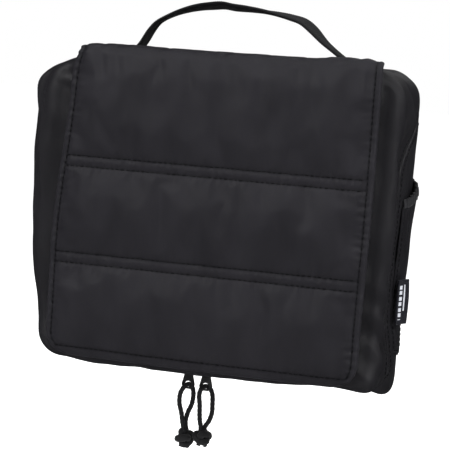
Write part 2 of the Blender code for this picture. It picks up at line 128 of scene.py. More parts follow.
def run_along(points):
    """The distance along a path at each of its points."""
    return np.concatenate([[0], np.cumsum(np.linalg.norm(np.diff(points, axis=0), axis=1))])


def read_at(run, values, at):
    """What the values along a path are at one distance."""
    return np.array([np.interp(at, run, v) for v in values.T])


def curve_through(points, steps):
    """Catmull-Rom points through the given ones."""
    p = np.asarray(points, float)
    p = np.vstack([2 * p[0] - p[1], p, 2 * p[-1] - p[-2]])
    out = []
    for i in range(1, len(p) - 2):
        for k in range(steps):
            t = k / steps
            out.append(0.5 * (2 * p[i] + (p[i + 1] - p[i - 1]) * t
                              + (2 * p[i - 1] - 5 * p[i] + 4 * p[i + 1] - p[i + 2]) * t * t
                              + (3 * p[i] - p[i - 1] - 3 * p[i + 1] + p[i + 2]) * t ** 3))
    out.append(p[-2])
    return np.array(out)


def resample(points, step):
    p = np.asarray(points, float)
    run = run_along(p)
    at = np.linspace(0, run[-1], max(2, int(round(run[-1] / step)) + 1))
    return read_at(run, p, at).T


# ---------------------------------------------------------------- meshes
def grid_faces(rows, columns, wrap=False, start=0, flip=False):
    faces = []
    for r in range(rows - 1):
        for c in range(columns if wrap else columns - 1):
            d = (c + 1) % columns
            quad = (start + r * columns + c, start + r * columns + d,
                    start + (r + 1) * columns + d, start + (r + 1) * columns + c)
            faces.append(quad[::-1] if flip else quad)
    return faces


def end_caps(rings, sides):
    """The two faces that close a tube."""
    return [tuple(reversed(range(sides))), tuple((rings - 1) * sides + k for k in range(sides))]


def make(name, points, faces, materials, indices=None):
    mesh = bpy.data.meshes.new(name)
    mesh.from_pydata([tuple(map(float, p)) for p in points], [], faces)
    for m in materials if isinstance(materials, (list, tuple)) else [materials]:
        mesh.materials.append(m)
    if indices is not None:
        mesh.polygons.foreach_set("material_index", indices)
    mesh.polygons.foreach_set("use_smooth", [True] * len(mesh.polygons))
    mesh.update()
    obj = bpy.data.objects.new(name, mesh)
    bpy.context.scene.collection.objects.link(obj)
    return obj


def bake(obj):
    """Turns the modifiers into mesh."""
    bpy.context.view_layer.update()
    evaluated = obj.evaluated_get(bpy.context.evaluated_depsgraph_get())
    mesh = bpy.data.meshes.new_from_object(evaluated)
    obj.modifiers.clear()
    old, obj.data = obj.data, mesh
    bpy.data.meshes.remove(old)
    mesh.name = obj.name
    mesh.polygons.foreach_set("use_smooth", [True] * len(mesh.polygons))
    return obj


def refine(obj):
    """Adds one level of subdivision, for the next bake."""
    fine = obj.modifiers.new("fine", "SUBSURF")
    fine.levels = fine.render_levels = 1


def thicken(obj, thickness, offset=-1.0, inside=0):
    m = obj.modifiers.new("thick", "SOLIDIFY")
    m.thickness, m.offset, m.use_even_offset = thickness, offset, False
    m.material_offset = inside
    return bake(obj)


def read_points(collection, key):
    values = np.zeros(len(collection) * 3, np.float32)
    collection.foreach_get(key, values)
    return values.reshape(-1, 3)


def coords(obj):
    return read_points(obj.data.vertices, "co").astype(float)


def set_coords(obj, co):
    obj.data.vertices.foreach_set("co", np.asarray(co, np.float32).ravel())
    obj.data.update()


def mark(obj, name, values):
    """Stores a number on each point, which the fabric's nodes read."""
    stored = obj.data.attributes.new(name, "FLOAT", "POINT")
    stored.data.foreach_set("value", np.asarray(values, np.float32))


def tube(points, radius, sides, shape=None, closed=False):
    """Rings round a path. shape(angle, run) scales the radius."""
    p = np.asarray(points, float)
    n = len(p)
    tangent = unit(np.roll(p, -1, 0) - np.roll(p, 1, 0) if closed else np.gradient(p, axis=0))
    run = run_along(p)
    off_axis = (0.31, 0.85, 0.42)
    side = unit(np.cross(tangent[0], off_axis))
    rings = []
    for i in range(n):
        side = unit(side - tangent[i] * (side @ tangent[i]))
        other = np.cross(tangent[i], side)
        for k in range(sides):
            a = TAU * k / sides
            r = radius * (shape(a, run[i]) if shape else 1)
            rings.append(p[i] + r * (math.cos(a) * side + math.sin(a) * other))
    faces = grid_faces(n, sides, wrap=True)
    if closed:
        last = (n - 1) * sides
        twist = min(range(sides), key=lambda k: np.linalg.norm(rings[k] - rings[last]))
        for c in range(sides):
            d = (c + 1) % sides
            faces.append((last + c, last + d, (d + twist) % sides, (c + twist) % sides))
    else:
        faces += end_caps(n, sides)
    return np.array(rings), faces


def capsule(a, b, radius, up, sides=6, taper=0.14, tip=0.5, sink=0.0):
    """A short round bar with narrowed ends, which are sunk below its middle."""
    along = b - a
    side = unit(np.cross(along, up))
    top = np.cross(side, unit(along))
    points = [a + along * t - top * down + radius * r * (math.cos(TAU * j / sides) * side
                                                         + math.sin(TAU * j / sides) * top)
              for t, r, down in ((0, tip, sink), (taper, 1, 0), (1 - taper, 1, 0), (1, tip, sink))
              for j in range(sides)]
    return np.array(points), grid_faces(4, sides, wrap=True) + end_caps(4, sides)


def join(parts):
    """Points and faces of several pieces as one."""
    points, faces, start = [], [], 0
    for p, f in parts:
        points.append(np.asarray(p))
        faces += [tuple(i + start for i in face) for face in f]
        start += len(p)
    return np.vstack(points), faces


# ---------------------------------------------------------------- materials
class Finish:
    """A material while its nodes are being linked."""

    def __init__(self, name):
        self.material = bpy.data.materials.new(name)
        self.material.use_nodes = True
        self.tree = self.material.node_tree
        self.shader = next(n for n in self.tree.nodes if n.type == "BSDF_PRINCIPLED")
        self.where = self.node("TexCoord").outputs["Object"]

    def feed(self, node, inputs):
        """Each input takes a value, or the output of another node."""
        for key, value in inputs.items():
            if isinstance(value, bpy.types.NodeSocket):
                self.tree.links.new(value, node.inputs[key])
            else:
                node.inputs[key].default_value = value

    def node(self, kind, inputs=(), **settings):
        node = self.tree.nodes.new("ShaderNode" + kind)
        for key, value in settings.items():
            setattr(node, key, value)
        self.feed(node, dict(inputs))
        return node

    def math(self, operation, *values):
        return self.node("Math", enumerate(values), operation=operation).outputs[0]

    def noise(self, scale, detail=2, vector=None):
        vector = self.where if vector is None else vector
        return self.node("TexNoise", {"Vector": vector, "Scale": scale, "Detail": detail}).outputs[0]

    def ramp(self, factor, *stops):
        node = self.node("ValToRGB", {0: factor})
        for element, (position, color) in zip(node.color_ramp.elements, stops):
            element.position, element.color = position, (*color, 1)
        return node.outputs[0]

    def mix(self, factor, a, b, kind="MIX"):
        inputs = {"Factor": factor, 6: a, 7: b}
        return self.node("Mix", inputs, data_type="RGBA", blend_type=kind).outputs[2]

    def spread(self, value, low, high, start=0):
        """Maps start to 1 onto low to high."""
        inputs = {0: value, "From Min": start, "To Min": low, "To Max": high}
        return self.node("MapRange", inputs).outputs[0]

    def marked(self, name):
        return self.node("Attribute", attribute_name=name).outputs["Fac"]

    def bump(self, height, strength, distance, under=()):
        inputs = {"Height": height, "Strength": strength, "Distance": distance, **dict(under)}
        return self.node("Bump", inputs).outputs[0]


def cloth(name, color, rough=0.5, sheen=0.08, pitch=0.0009, depth=0.00008, ribs=None, vary=0.22, wear=0.0,
          shine=0.08):
    """Woven fabric. ribs turns the weave into webbing that is ribbed along that axis."""
    f = Finish(name)
    axes = dict(zip("xyz", f.node("SeparateXYZ", {0: f.where}).outputs))
    across = axes[ribs] if ribs else f.math("ADD", axes["x"], axes["y"])
    along = f.math("ADD", axes["z"], axes["y"])
    waves = [f.math("SINE", f.math("MULTIPLY", v, TAU / p))
             for v, p in ((across, pitch), (along, pitch * (0.55 if ribs else 1)))]
    weave = f.math("MULTIPLY", *waves)
    stretched = f.node("Mapping", {0: f.where, "Scale": (1.5, 1.5, 0.7)}).outputs[0]
    big, fine = f.noise(34, 5, stretched), f.noise(1300)
    mottled = f.math("ADD", f.math("MULTIPLY", big, 0.6), f.math("MULTIPLY", fine, 0.4))
    dyed = f.ramp(mottled, (0.3, [c * (1 - vary) for c in color]), (0.72, [c * (1 + vary) for c in color]))
    tint = f.mix(0.5, dyed, f.spread(weave, 0.72, 1.25, start=-1), "MULTIPLY")
    if wear:
        rubbed = f.math("MULTIPLY", f.marked("wear"), f.math("MULTIPLY", fine, wear))
        tint = f.mix(rubbed, tint, [min(1, 2.6 * c + 0.02) for c in color] + [1])
        # Along the marked needle lines the colour is darkened to a quarter: painted shade of the stitched
        # groove.
        tint = f.mix(f.math("MULTIPLY", f.marked("sewn"), 0.42), tint, [0.25 * c for c in color] + [1])
    threads = f.bump(weave, 0.7, depth)
    f.feed(f.shader, {"Base Color": tint, "Roughness": f.spread(big, rough - 0.07, rough + 0.09),
                      "Sheen Weight": sheen, "Sheen Roughness": 0.4, "Specular IOR Level": shine,
                      "Normal": f.bump(big, 0.8, 0.0005, {"Normal": threads})})
    return f.material


def hard(name, color, rough, grain=900, coat=0.0):
    """Moulded plastic or lacquered metal, with fine grain and rubbed patches."""
    f = Finish(name)
    rub = f.noise(260, 6)
    f.feed(f.shader, {"Base Color": f.ramp(rub, (0.45, color), (0.78, [2 * c + 0.01 for c in color])),
                      "Roughness": f.spread(rub, rough - 0.08, rough + 0.12), "Coat Weight": coat,
                      "Normal": f.bump(f.noise(grain), 0.5, 0.00004)})
    return f.material


SHELL = cloth("shell_fabric", (0.0098, 0.0094, 0.0112), rough=0.40, sheen=0.01, wear=0.12, shine=0.20)
FLAP = cloth("flap_fabric", (0.0124, 0.0118, 0.0145), rough=0.41, sheen=0.01, wear=0.12, shine=0.13)
LINING = cloth("lining_fabric", (0.030, 0.030, 0.034), rough=0.6, sheen=0.06, pitch=0.0008)
WEB = {"color": (0.013, 0.013, 0.014), "rough": 0.66, "sheen": 0.02, "pitch": 0.0016, "depth": 0.0002}
WEBBING = cloth("webbing", ribs="x", **WEB)
STRAP_WEB = cloth("webbing_upright", ribs="z", **WEB)
TAPE = cloth("zip_tape", (0.011, 0.011, 0.012), rough=0.7, pitch=0.0008)
ELASTIC = cloth("elastic", (0.016, 0.016, 0.018), rough=0.65, pitch=0.0012, depth=0.0002)
CORD = cloth("paracord", (0.014, 0.014, 0.015), rough=0.58, sheen=0.10, pitch=0.0008, depth=0.0001)
THREAD = cloth("thread", (0.003, 0.003, 0.0035), rough=0.6, sheen=0.0, pitch=0.0003, depth=0.00003)
PILE = cloth("fastener_pile", (0.012, 0.012, 0.013), rough=0.85, sheen=0.6, pitch=0.0006, depth=0.0002)
LABEL = cloth("label_black", (0.008, 0.008, 0.012), sheen=0.1, pitch=0.0005, depth=0.00004)
PALE = cloth("label_pale", (0.45, 0.46, 0.50), rough=0.6, sheen=0.1, pitch=0.0005, depth=0.00004, vary=0.1)
METAL = hard("zip_metal", (0.012, 0.012, 0.013), rough=0.36, coat=0.2)
COIL = hard("zip_coil", (0.012, 0.012, 0.013), rough=0.38)
PLASTIC = hard("plastic", (0.014, 0.014, 0.015), rough=0.42, grain=1500)

# ---------------------------------------------------------------- the cords, before anything else
TAB_HOLE_Z = -0.2564
CORD_X = {"left": -0.0165, "right": -0.0040}
# Each loop's two strands, down behind the tab and up in front of it: sideways, and share of the drop left.
STRANDS = {"left": ((.0020, .93), (.0034, .78), (.0030, .56), (.0008, .36), (-.0004, .16), (.0004, 0),
                    (-.0010, 0), (-.0020, .16), (-.0030, .36), (-.0046, .56), (-.0044, .78), (-.0022, .93)),
           "right": ((.0024, .93), (.0044, .78), (.0050, .56), (.0052, .36), (.0036, .16), (.0010, 0),
                     (-.0012, 0), (-.0022, .16), (-.0026, .36), (-.0028, .56), (-.0034, .78), (-.0024, .93))}
STRAND_DEPTHS = (.0030, .0030, .0024, .0018, .0012, .0008)
BRAID_LAY = 0.0062


def cord_route(side):
    """The loop of cord: from the tab's hole down behind it, round inside the knot and back up in front."""
    x = CORD_X[side]
    low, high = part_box("cord_knot_" + side)
    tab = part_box("pull_tab_" + side)
    y = (tab[0].y + tab[1].y) / 2
    end = high.z + 0.0006
    depths = STRAND_DEPTHS + tuple(-d for d in reversed(STRAND_DEPTHS))
    strands = [(x + dx, y + dy, end + share * (TAB_HOLE_Z - end))
               for (dx, share), dy in zip(STRANDS[side], depths)]
    turn = [(x + .0012, y, end - .0048), (x - .0008, y, end - .0060), (x - .0018, y, end - .0040)]
    hole = [(x, y, TAB_HOLE_Z + .0001)]
    route = hole + strands[:6] + turn + strands[6:] + hole
    return resample(curve_through(route, 8), 0.0008), (x, y, TAB_HOLE_Z), (low + high) / 2


def braid(angle, run):
    """A round braid: two sets of strands crossing."""
    turn = run / BRAID_LAY * TAU
    return 0.95 + 0.085 * abs(math.sin(2 * angle + turn)) + 0.085 * abs(math.sin(2 * angle - turn))


def knot(centre, way):
    """A tied stopper knot: wraps pulled tight round the cord, with two short tails under them."""
    t = np.linspace(0, TAU, 96, endpoint=False)
    wide = 0.0034 + 0.0009 * np.cos(3 * t)
    r = np.stack([wide * np.cos(2 * t) * 1.02, way * wide * np.sin(2 * t), 0.0030 * np.sin(3 * t)], 1)
    tilt = Matrix.Rotation(math.radians(24 * way), 3, "Y") @ Matrix.Rotation(math.radians(18), 3, "X")
    wraps = r @ np.array(tilt).T + np.array(centre)
    core = np.array([centre + Vector((0, 0, h)) for h in np.linspace(0.0062, -0.0046, 9)])
    parts = [tube(wraps, 0.0023, 16, braid, closed=True), tube(core, 0.0026, 12)]
    for k in (-1, 1):
        bends = [(.0013 * k, .0006 * k, 0), (.00182 * k, .0006 * k, -.0030), (.00221 * k, .0002 * k, -.0054),
                 (.00247 * k, .0004 * k, -.0066)]
        tail = curve_through(bends, 5) + np.array(centre)
        parts.append(tube(resample(tail, 0.0007), 0.00135, 12, braid))
    return join(parts)


def make_cord(side, way):
    path, exit_point, centre = cord_route(side)
    cord = make("cord_" + side, *tube(path, CORD_DIAMETER / 2, 16, braid), CORD)
    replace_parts(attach(cord, "cord_" + side), "pull_cord_" + side)
    stop = make("knot_" + side, *knot(centre, way), CORD)
    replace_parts(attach(stop, "cord_" + side), "cord_knot_" + side)


make_cord("left", 1)
make_cord("right", -1)

# ---------------------------------------------------------------- the soft case
COUNT = 232                                     # points round the case
PANEL_STEPS = (0.04, 0.14, 0.26, 0.38, 0.50, 0.62, 0.73, 0.83, 0.91, 0.97)
EDGE_STEPS, ARC_STEPS = 5, 12
PANEL_CROWN = 0.0012
CALM_ROWS, CALM = 8, 0.35                       # the middle of a panel creases less
WEAR_AT_SEAM, WEAR_AT_RIM = (0.3, 0.8, 0.3), 0.7


def outline(count):
    """Points and outward normals round the case as seen from the front, from the middle of the base."""
    w, rt, rl, rr = HALF_WIDTH, TOP_RADIUS, BASE_RADIUS["left"], BASE_RADIUS["right"]
    p = [(0, BASE)]
    for cx, cz, r, a0 in ((w - rr, BASE + rr, rr, -90), (w - rt, TOP - rt, rt, 0),
                          (rt - w, TOP - rt, rt, 90), (rl - w, BASE + rl, rl, 180)):
        for k in range(ARC_STEPS + 1):
            a = math.radians(a0 + 90 * k / ARC_STEPS)
            p.append((cx + r * math.cos(a), cz + r * math.sin(a)))
    p = np.array(p + [(0, BASE)])
    run = run_along(p)
    q = read_at(run, p, np.linspace(0, run[-1], count, endpoint=False)).T
    d = np.roll(q, -1, 0) - np.roll(q, 1, 0)
    return q, unit(np.stack([d[:, 1], -d[:, 0]], 1))


def at_depth(q, y):
    """Points of the outline, x and z, set at depth y."""
    return np.stack([q[:, 0], np.broadcast_to(y, len(q)), q[:, 1]], 1)


def zip_y(z):
    share = np.clip((np.asarray(z, float) - ZIP_BEND) / (ZIP_END - ZIP_BEND), 0, 1)
    return ZIP_Y + (ZIP_BACK - ZIP_Y) * (1 - np.cos(share * math.pi / 2)) ** 0.8


def zip_gap(z):
    slope = np.abs(zip_y(z + 0.001) - zip_y(z - 0.001)) / 0.002
    return ZIP_GAP * np.sqrt(1 + np.minimum(slope, 1.2) ** 2)


def round_off(y):
    """How far the case's side is drawn in near its front and back faces."""
    y = np.asarray(y, float)
    drawn = 0
    for radius, away in ((FRONT_EDGE, y - FRONT_Y), (REAR_EDGE, BACK_Y - y)):
        t = np.clip(radius - away, 0, radius)
        drawn = drawn + radius - np.sqrt(radius ** 2 - t ** 2)
    return drawn


def soften(co):
    """The slack of the filled bag, which moves every piece of the case by the same amount.

    x, y and z are views of co, so each term starts from the points that the terms before it moved.
    """
    co = np.array(co, float)
    x, y, z = co.T
    side = smooth((np.abs(x) - 0.085) / 0.034)
    left, right = side * (x < 0), side * (x > 0)
    body = smooth((y - FRONT_Y + 0.01) / 0.02)
    reach = smooth((-0.050 - z) / 0.025)
    # The left side bulges, most under its shoulder, and draws in towards the base.
    x -= left * (0.0035 * bell(z, -0.092, 0.050) + 0.0044 * reach)
    x -= left * reach * 0.0052 * bell(y, -0.010, 0.024) * smooth((z + 0.236) / 0.03)
    x -= left * 0.0066 * bell(z, -0.055, 0.016)
    x += right * 0.0022 * bell(z, -0.056, 0.030)
    x += left * (0.4 + 0.6 * body) * 0.0085 * smooth((-0.170 - z) / 0.065)
    # The right side is fullest at the shoulder.
    x += right * 0.0014 * bell(z, -0.100, 0.040)
    x += right * 0.0010 * bell(z, -0.135, 0.030)
    # Both sides sink in along the zip.
    waist = smooth((-0.060 - z) / 0.025) * smooth((z + 0.232) / 0.035)
    x -= right * 0.0042 * waist * bell(y, -0.032, 0.017)
    x += left * 0.0030 * waist * bell(y, -0.030, 0.015)
    y -= (left + right) * 0.0080 * waist * bell(y, ZIP_Y, 0.020)
    x += right * 0.0018 * smooth((-0.185 - z) / 0.04) * smooth((y + 0.040) / 0.03)
    # The roof slopes off to both corners and dips between them.
    high = smooth((z - TOP + 0.04) / 0.04)
    z -= high * (0.0035 * smooth((-x - 0.07) / 0.05) + 0.0035 * smooth((-x - 0.100) / 0.012))
    z += high * 0.0026 * smooth((x - 0.04) / 0.04)
    z -= high * 0.0030 * smooth((x - 0.100) / 0.019)
    z -= high * 0.0020 * bell(x, 0.02, 0.05) * bell(y, -0.02, 0.03)
    # The base sags in front and at its right end, and is tucked up on the left.
    low = smooth((BASE + 0.03 - z) / 0.03)
    z -= low * smooth((-0.030 - y) / 0.014) * (0.0052 - 0.0032 * smooth((x - 0.03) / 0.06))
    z -= low * smooth((x - 0.070) / 0.045) * (0.0008 + 0.0135 * smooth((y + 0.021) / 0.022))
    z += low * 0.0030 * smooth((-x - 0.07) / 0.04)
    # Beside the flap the front is set back, and the back panel is a little full.
    border = smooth((np.abs(x) - 0.099) / 0.006) * smooth((FRONT_Y + 0.013 - y) / 0.013)
    y += border * np.where(x > 0, 0.0050, 0.0030) * smooth((z - BASE - 0.006) / 0.02)
    back = smooth((y - 0.005) / 0.010)
    y += back * 0.0030 * (1 - np.minimum(np.abs(x) / HALF_WIDTH, 1) ** 2) * bell(z, -0.165, 0.045)
    return co


def folds(co):
    """Creases of the loose side and top fabric, as an amount along the outward normal."""
    x, y, z = np.asarray(co, float).T
    amount = 0.0010 * noisy(co, 34, 3.1, (1, 1.4, 0.8)) + 0.0005 * noisy(co, 85, 9.7, (1, 1.3, 0.7))
    right = smooth((x - 0.100) / 0.012)
    left = smooth((-x - 0.100) / 0.012)
    # On the right, slanted folds low down and two deep ones at the shoulder.
    slant = (z + 0.9 * y) / 0.0150
    low = bell(z, -0.205, 0.030) * bell(y, -0.047, 0.018)
    amount += right * 0.0025 * np.sin(slant * TAU * 0.72 + 0.7) * low
    amount -= right * 0.0040 * bell(z + 0.35 * y, -0.056, 0.0075) * bell(y, -0.012, 0.013)
    amount += right * 0.0022 * bell(z + 0.35 * y, -0.073, 0.012) * bell(y, -0.022, 0.02)
    amount -= right * 0.0016 * bell(y + 0.25 * (z + 0.1), -0.047, 0.0045) * bell(z, -0.085, 0.035)
    # On the left, upright folds.
    amount += left * 0.0024 * np.sin((0.12 * z - y) / 0.012 * TAU * 0.8) * bell(z, -0.10, 0.07)
    amount -= left * 0.0035 * bell(y - 0.2 * (z + 0.06), -0.048, 0.005) * bell(z, -0.07, 0.03)
    face = smooth((FRONT_Y + 0.006 - y) / 0.004) * bell(z, -0.062, 0.026)
    amount += face * (0.0042 * bell(x, -0.1075, 0.0042) - 0.0022 * bell(x, -0.1150, 0.0028))
    top = smooth((z - TOP + 0.006) / 0.006)
    amount += top * (0.0006 * np.sin(x / 0.031 * TAU + 4 * noisy(co, 12, 1.0)) - 0.0010)
    return amount


def shell(name, front):
    """Half of the case as one lofted skin, from the middle of its panel round the edge to the zip."""
    p, n = outline(COUNT)
    out = at_depth(n, 0.0)
    radius, face, way = (FRONT_EDGE, FRONT_Y, 1) if front else (REAR_EDGE, BACK_Y, -1)
    facing = np.array([0.0, -way, 0.0])
    inner = p - n * radius
    middle = np.array([0, (TOP + BASE) / 2])
    top = p[:, 1] > HINGE_Z - 0.002
    rows = [at_depth(middle + (inner - middle) * s, face - way * PANEL_CROWN * (1 - s ** 3))
            for s in PANEL_STEPS]
    normals = [np.tile(facing, (COUNT, 1))] * len(rows)
    reach = np.full(COUNT, 90.0)
    if not front:
        reach[top] = math.degrees(math.acos(1 - 0.0032 / radius))
    for k in range(EDGE_STEPS + 1):
        a = np.radians(reach * k / EDGE_STEPS)
        sine, cosine = np.sin(a)[:, None], np.cos(a)[:, None]
        rows.append(at_depth(inner + n * (radius * sine), face + way * radius * (1 - np.cos(a))))
        normals.append(out * sine + facing * cosine)
    start = rows[-1][:, 1]
    rim = np.where(top, BACK_Y - (0.0030 if front else 0.0034), zip_y(p[:, 1]) - way * zip_gap(p[:, 1]))
    under = np.where(top & (not front), -0.0008, 0.0)
    steps = 16 if front else 11
    for k in range(1, steps + 1):
        y = start + (rim - start) * (k / steps)
        rows.append(at_depth(p + n * (under - round_off(y))[:, None], y))
        normals.append(out)
    rows[-1] = rows[-1] + out * 0.0004
    points = np.vstack(rows)
    hold = np.ones(len(rows))
    hold[-3:] = 0.8, 0.4, 0.12
    amount = folds(points) * np.repeat(hold, COUNT)
    amount[:COUNT * CALM_ROWS] *= CALM
    if front:
        covered = (points[:, 1] < FRONT_Y + 0.0015) & (np.abs(points[:, 0]) < 0.103)
        amount = np.where(covered, np.minimum(amount, 0.0004), amount)
    points = soften(points + np.vstack(normals) * amount[:, None])
    hub = len(points)
    points = np.vstack([points, points[:COUNT].mean(0)])
    fan = [(k, (k + 1) % COUNT) for k in range(COUNT)]
    faces = grid_faces(len(rows), COUNT, wrap=True, flip=front)
    faces += [(a, b, hub) if front else (b, a, hub) for a, b in fan]
    obj = make(name, points, faces, [SHELL, LINING])
    wear = np.zeros(len(rows))
    wear[len(PANEL_STEPS):len(PANEL_STEPS) + 3] = WEAR_AT_SEAM
    wear[-1] = WEAR_AT_RIM
    mark(obj, "wear", np.append(np.repeat(wear, COUNT), 0))
    refine(obj)
    return thicken(obj, WALL, inside=1)


front_shell = shell("front_case_skin", True)
back_shell = shell("rear_case_skin", False)
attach(front_shell, "front_case")
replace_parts(front_shell, "front_panel", "front_foam", "front_gusset_left", "front_gusset_right", "top_panel",
            "front_base")
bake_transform(back_shell)
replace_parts(back_shell, "back_panel", "back_foam", "back_yoke", "rear_gusset_left", "rear_gusset_right",
            "rear_base")


# ---------------------------------------------------------------- simulation and stitching
def inflate(obj, pins, pressure, grow, cap, frames=20):
    """Swells a closed mesh as cloth, with its seams pinned, and keeps the result."""
    rest = coords(obj)
    group = obj.vertex_groups.new(name="pin")
    for i, w in pins.items():
        group.add([i], w, "REPLACE")
    m = obj.modifiers.new("swell", "CLOTH")
    s = m.settings
    s.quality, s.mass = 6, 0.15
    s.tension_stiffness = s.compression_stiffness = 14
    s.shear_stiffness, s.bending_stiffness = 5, 0.8
    s.use_pressure, s.uniform_pressure_force = True, pressure
    s.shrink_min = -grow
    s.vertex_group_mass = "pin"
    s.effector_weights.gravity = 0
    m.collision_settings.use_collision = False
    m.point_cache.frame_start, m.point_cache.frame_end = 1, frames
    for f in range(1, frames + 1):
        bpy.context.scene.frame_set(f)
    evaluated = obj.evaluated_get(bpy.context.evaluated_depsgraph_get())
    move = read_points(evaluated.data.vertices, "co") - rest
    size = np.linalg.norm(move, axis=1)
    move *= np.minimum(1, cap / np.maximum(size, 1e-9))[:, None]
    obj.modifiers.clear()
    bpy.context.scene.frame_set(1)
    set_coords(obj, rest + move)


def surface_of(obj):
    mesh = obj.data
    return BVHTree.FromPolygons([v.co[:] for v in mesh.vertices], [p.vertices[:] for p in mesh.polygons])


def dashes(line, length, gap):
    run = run_along(line)
    for k in range(int(run[-1] // (length + gap))):
        s = k * (length + gap) + gap / 2
        yield read_at(run, line, s), read_at(run, line, s + length)


THREAD_RADIUS, THREAD_LIFT = 0.00030, 0.00012


def stitches(name, lines, tree, length=0.0026, gap=0.0009):
    """Thread along each line, laid on the surface below it."""
    parts = []
    for line in lines:
        for a, b in dashes(np.asarray(line, float), length, gap):
            ends = [tree.find_nearest(Vector(q)) for q in (a, b)]
            normal = (ends[0][1] + ends[1][1]).normalized()
            if normal.dot(Vector(a) - ends[0][0]) < 0:
                normal = -normal
            p, q = (np.array(e[0] + normal * THREAD_LIFT) for e in ends)
            if np.linalg.norm(q - p) > 1e-5:
                parts.append(capsule(p, q, THREAD_RADIUS, np.array(normal), sides=5, taper=0.12, tip=0.55,
                                     sink=THREAD_LIFT + THREAD_RADIUS))
    return make(name, *join(parts), THREAD)


def crossed_box(corners):
    """The stitched lines of a rectangle with a cross in it."""
    sides = [[p, q] for p, q in zip(corners, corners[1:] + corners[:1])]
    return sides + [[corners[0], corners[2]], [corners[1], corners[3]]]


# ---------------------------------------------------------------- the padded flap
QUILT = (-0.1035, -0.1105, -0.168, -0.175, -0.231)      # heights of the sewn lines down its front
EDGE_STITCH = 0.0042
FOLD_RADIUS = 0.0065
FLAP_STEP, FLAP_COLUMNS = 0.0031, 67
FLAP_BACKING = 0.0046                                   # from the nominal face in to the lining
# Puckers over the fold: place across, width, depth and height.
CREASES = ((-.079, .0016, .0016, .012), (-.068, .002, .0010, .016), (-.043, .0018, .0012, .012),
           (-.038, .0016, .0010, .02), (-.018, .002, .0007, .012), (.004, .0014, .0022, .013),
           (.012, .002, .0008, .018), (.028, .003, .0006, .012), (.052, .0018, .0012, .013),
           (.061, .0018, .0010, .018), (.070, .0016, .0014, .012), (.092, .002, .0010, .016))


def flap_path():
    """Runs along the flap's outside from its rear seam over the fold to the hem, and which are sewn."""
    roof = FLAP_REAR - (FLAP_FACE + FOLD_RADIUS)
    arc = FOLD_RADIUS * math.pi / 2
    drop = FLAP_ROOF - FOLD_RADIUS
    knots = [0, 0.003, roof, roof + arc] + [roof + arc + drop - z for z in QUILT + (FLAP_HEM,)]
    sewn = set()
    s = [0.0]
    for i, (a, b) in enumerate(zip(knots, knots[1:])):
        steps = max(2, round((b - a) / FLAP_STEP))
        s += [a + (b - a) * k / steps for k in range(1, steps + 1)]
        if i not in (1, 2):
            sewn.add(len(s) - 1)
    return np.array(s), sewn, roof, arc


def flap_section(s, roof, arc):
    """Depth, height and outward normal of the flap at run s."""
    if s <= roof:
        return FLAP_REAR - s, FLAP_ROOF, (0, 1)
    if s <= roof + arc:
        a = (s - roof) / FOLD_RADIUS
        return (FLAP_FACE + FOLD_RADIUS - FOLD_RADIUS * math.sin(a),
                FLAP_ROOF - FOLD_RADIUS + FOLD_RADIUS * math.cos(a), (-math.sin(a), math.cos(a)))
    return FLAP_FACE, FLAP_ROOF - FOLD_RADIUS - (s - roof - arc), (-1, 0)


def flap_columns():
    inner = FLAP_HALF - EDGE_STITCH
    middle = np.linspace(-inner, inner, FLAP_COLUMNS)
    piping = FLAP_HALF - 0.0018
    return np.concatenate([[-FLAP_HALF, -piping], middle, [piping, FLAP_HALF]]) / FLAP_HALF


def flap_points(si, uj, left, roof, arc, seam):
    """The outer cloth and the lining under it, at run si with left still to go, and uj across."""
    y, z, (ny, nz) = flap_section(si, roof, arc)
    pull = FLAP_CORNER - math.sqrt(max(FLAP_CORNER ** 2 - max(FLAP_CORNER - left, 0) ** 2, 0))
    x = uj * (FLAP_HALF - pull)
    x += 0.0080 * smooth(-uj) * smooth((z + 0.165) / 0.12) - 0.0012 * smooth(uj) * smooth((-0.12 - z) / 0.08)
    x -= uj * 0.0118 * max(0.0, 1 - si / roof)
    turned = smooth((-uj - 0.84) / 0.16) * math.exp(-((si - roof - arc / 2) / 0.012) ** 2)
    x += 0.0042 * turned
    lift = (0.0010 * smooth(-uj) - 0.0014) * smooth((-0.19 - z) / 0.04)
    right_rise = 0.0020 * smooth((uj - 0.3) / 0.6)
    corner_drop = 0.0034 * smooth((abs(uj) - 0.8) / 0.2) * smooth((roof - si) / roof)
    lift += smooth((z + 0.050) / 0.012) * (right_rise - corner_drop)
    edge = max(0.0, min(1.0, (FLAP_HALF - abs(uj) * FLAP_HALF) / 0.010))
    lead = max(0.0, min(1.0, min(si, left) / 0.010))
    thick = 0.0011 + (0.0028 if z < FLAP_ROOF - 0.004 else 0.0018) * math.sqrt(edge * lead)
    if seam:
        thick -= 0.0008
    lining = Vector((x, y - FLAP_BACKING * ny, z + lift - 0.0014 * turned - FLAP_BACKING * nz))
    return lining + Vector((0, ny, nz)) * (0.0008 + thick), lining


def flap_slack(points):
    """Small waves of the sewn layers before they are filled: the puckers start here."""
    x, y, z = points.T
    move = np.zeros_like(points)
    front = smooth((-0.030 - z) / 0.006)
    wave = 0.00035 * noisy(points, 150, 5.0, (1, 0, 0.35)) + 0.0005 * noisy(points, 60, 2.0, (1, 0, 0.5))
    for at, wide, deep, tall in CREASES:
        wave = wave - deep * bell(x + 0.15 * (z + 0.035), at, wide) * bell(z, -0.036, tall)
    move[:, 1] -= front * wave
    move[:, 2] += (1 - front) * wave
    return move


